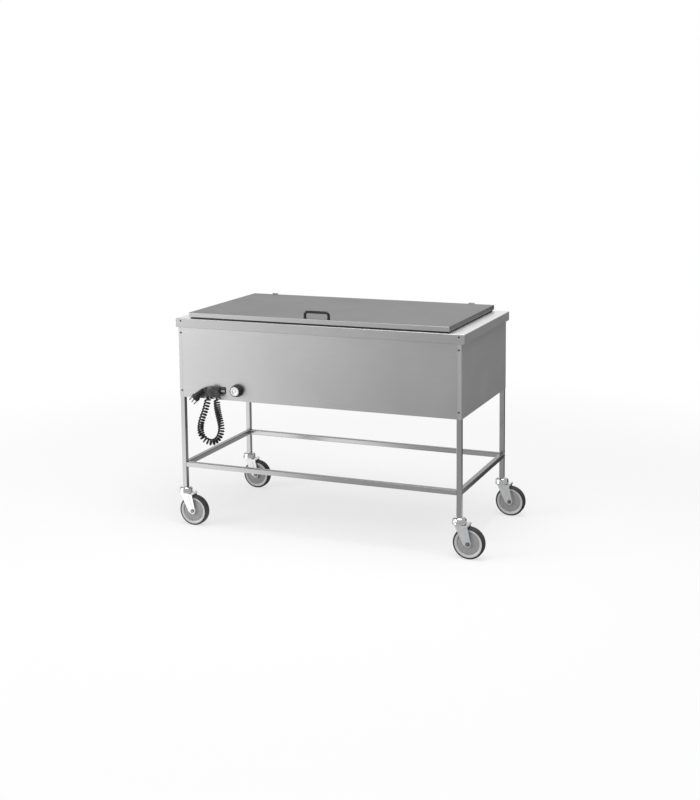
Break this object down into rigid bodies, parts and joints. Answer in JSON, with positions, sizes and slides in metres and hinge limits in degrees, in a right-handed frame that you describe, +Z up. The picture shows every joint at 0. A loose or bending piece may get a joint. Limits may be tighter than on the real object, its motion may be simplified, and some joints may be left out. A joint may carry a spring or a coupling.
{
  "type": "hostess trolley",
  "caption": "Heated serving trolley: stainless body with a deep well, hinged insulated lid, tube legs with rails, swivel castors, thermostat knob and a curly mains lead.",
  "frame": {"origin": "on the floor, in the middle of the trolley's overall length and depth with the castors trailing to +X; the lead isn't counted", "axes": "+X along the length to the right as seen from the front, +Y to the back where the lid's hinges are, +Z up; the knob, switch and lead are on the -Y side"},
  "size_m": [1.316, 0.6689, 0.923],
  "materials": {
    "tube": "satin",
    "castor_chrome": "polished",
    "castor_zinc": "satin",
    "castor_bolts": "satin",
    "wheel_centre": "matte",
    "tyre": "matte",
    "bolts": "satin",
    "body_sheet": "satin",
    "inner_sheet": "satin",
    "screws": "satin",
    "element": "matte",
    "lid_sheet": "satin",
    "insulation": "matte",
    "seal": "matte",
    "black_plastic": "satin",
    "hinges": "satin",
    "thermostat": "matte",
    "knob_face": "satin",
    "rocker_plastic": "satin",
    "cord_rubber": "matte",
    "plug_metal": "polished"
  },
  "bodies": {
    "frame": {"leg_front_left": "tube", "castor_housing_front_left": "castor_chrome", "leg_front_right": "tube", "castor_housing_front_right": "castor_chrome", "leg_back_left": "tube", "castor_housing_back_left": "castor_chrome", "leg_back_right": "tube", "castor_housing_back_right": "castor_chrome", "rail_front": "tube", "rail_back": "tube", "rail_left": "tube", "rail_right": "tube", "rail_bolts": "bolts", "front_panel": "body_sheet", "back_panel": "body_sheet", "side_panel_left": "body_sheet", "side_panel_right": "body_sheet", "bottom_cover": "inner_sheet", "panel_screws": "screws", "deck": "body_sheet", "well": "inner_sheet", "heating_element": "element", "element_clamps": "inner_sheet", "hinge_deck_leaves": "hinges", "thermostat": "thermostat", "switch_frame": "black_plastic", "cord_holder": "black_plastic", "holder_screws": "screws", "cord_gland": "cord_rubber", "curly_cord": "cord_rubber", "plug_body": "cord_rubber", "plug_pins": "plug_metal"},
    "lid": {"lid_skin": "lid_sheet", "lid_filling": "insulation", "lid_liner": "inner_sheet", "lid_seal": "seal", "handle": "black_plastic", "handle_screws": "bolts", "hinge_lid_leaves": "hinges", "hinge_pins": "bolts"},
    "knob": {"knob": "black_plastic", "knob_disc": "knob_face", "spindle": "bolts"},
    "rocker": {"rocker": "rocker_plastic"},
    "fork_front_left": {"castor_fork_front_left": "castor_zinc", "castor_axle_front_left": "castor_bolts"},
    "wheel_front_left": {"castor_hub_front_left": "wheel_centre", "castor_tyre_front_left": "tyre"},
    "fork_front_right": {"castor_fork_front_right": "castor_zinc", "castor_axle_front_right": "castor_bolts"},
    "wheel_front_right": {"castor_hub_front_right": "wheel_centre", "castor_tyre_front_right": "tyre"},
    "fork_back_left": {"castor_fork_back_left": "castor_zinc", "castor_axle_back_left": "castor_bolts"},
    "wheel_back_left": {"castor_hub_back_left": "wheel_centre", "castor_tyre_back_left": "tyre"},
    "fork_back_right": {"castor_fork_back_right": "castor_zinc", "castor_axle_back_right": "castor_bolts"},
    "wheel_back_right": {"castor_hub_back_right": "wheel_centre", "castor_tyre_back_right": "tyre"}
  },
  "joints": [
    {"name": "lid_hinge", "type": "hinge", "parent": "frame", "child": "lid", "pos_m": [-0.036, 0.30635, 0.89], "axis": [-1, 0, 0], "range_deg": [0, 95]},
    {"name": "swivel_front_left", "type": "hinge", "parent": "frame", "child": "fork_front_left", "pos_m": [-0.629, -0.28635, 0.134], "axis": [0, 0, 1], "continuous": true},
    {"name": "roll_front_left", "type": "hinge", "parent": "fork_front_left", "child": "wheel_front_left", "pos_m": [-0.5905, -0.28635, 0.0625], "axis": [0, 1, 0], "continuous": true},
    {"name": "swivel_front_right", "type": "hinge", "parent": "frame", "child": "fork_front_right", "pos_m": [0.557, -0.28635, 0.134], "axis": [0, 0, 1], "continuous": true},
    {"name": "roll_front_right", "type": "hinge", "parent": "fork_front_right", "child": "wheel_front_right", "pos_m": [0.5955, -0.28635, 0.0625], "axis": [0, 1, 0], "continuous": true},
    {"name": "swivel_back_left", "type": "hinge", "parent": "frame", "child": "fork_back_left", "pos_m": [-0.629, 0.29765, 0.134], "axis": [0, 0, 1], "continuous": true},
    {"name": "roll_back_left", "type": "hinge", "parent": "fork_back_left", "child": "wheel_back_left", "pos_m": [-0.5905, 0.29765, 0.0625], "axis": [0, 1, 0], "continuous": true},
    {"name": "swivel_back_right", "type": "hinge", "parent": "frame", "child": "fork_back_right", "pos_m": [0.557, 0.29765, 0.134], "axis": [0, 0, 1], "continuous": true},
    {"name": "roll_back_right", "type": "hinge", "parent": "fork_back_right", "child": "wheel_back_right", "pos_m": [0.5955, 0.29765, 0.0625], "axis": [0, 1, 0], "continuous": true},
    {"name": "knob_turn", "type": "hinge", "parent": "frame", "child": "knob", "pos_m": [-0.375, -0.29785, 0.584], "axis": [0, 1, 0], "range_deg": [0, 270]},
    {"name": "rocker_tilt", "type": "hinge", "parent": "frame", "child": "rocker", "pos_m": [-0.44, -0.29485, 0.58], "axis": [1, 0, 0], "range_deg": [0, 18]}
  ]
}
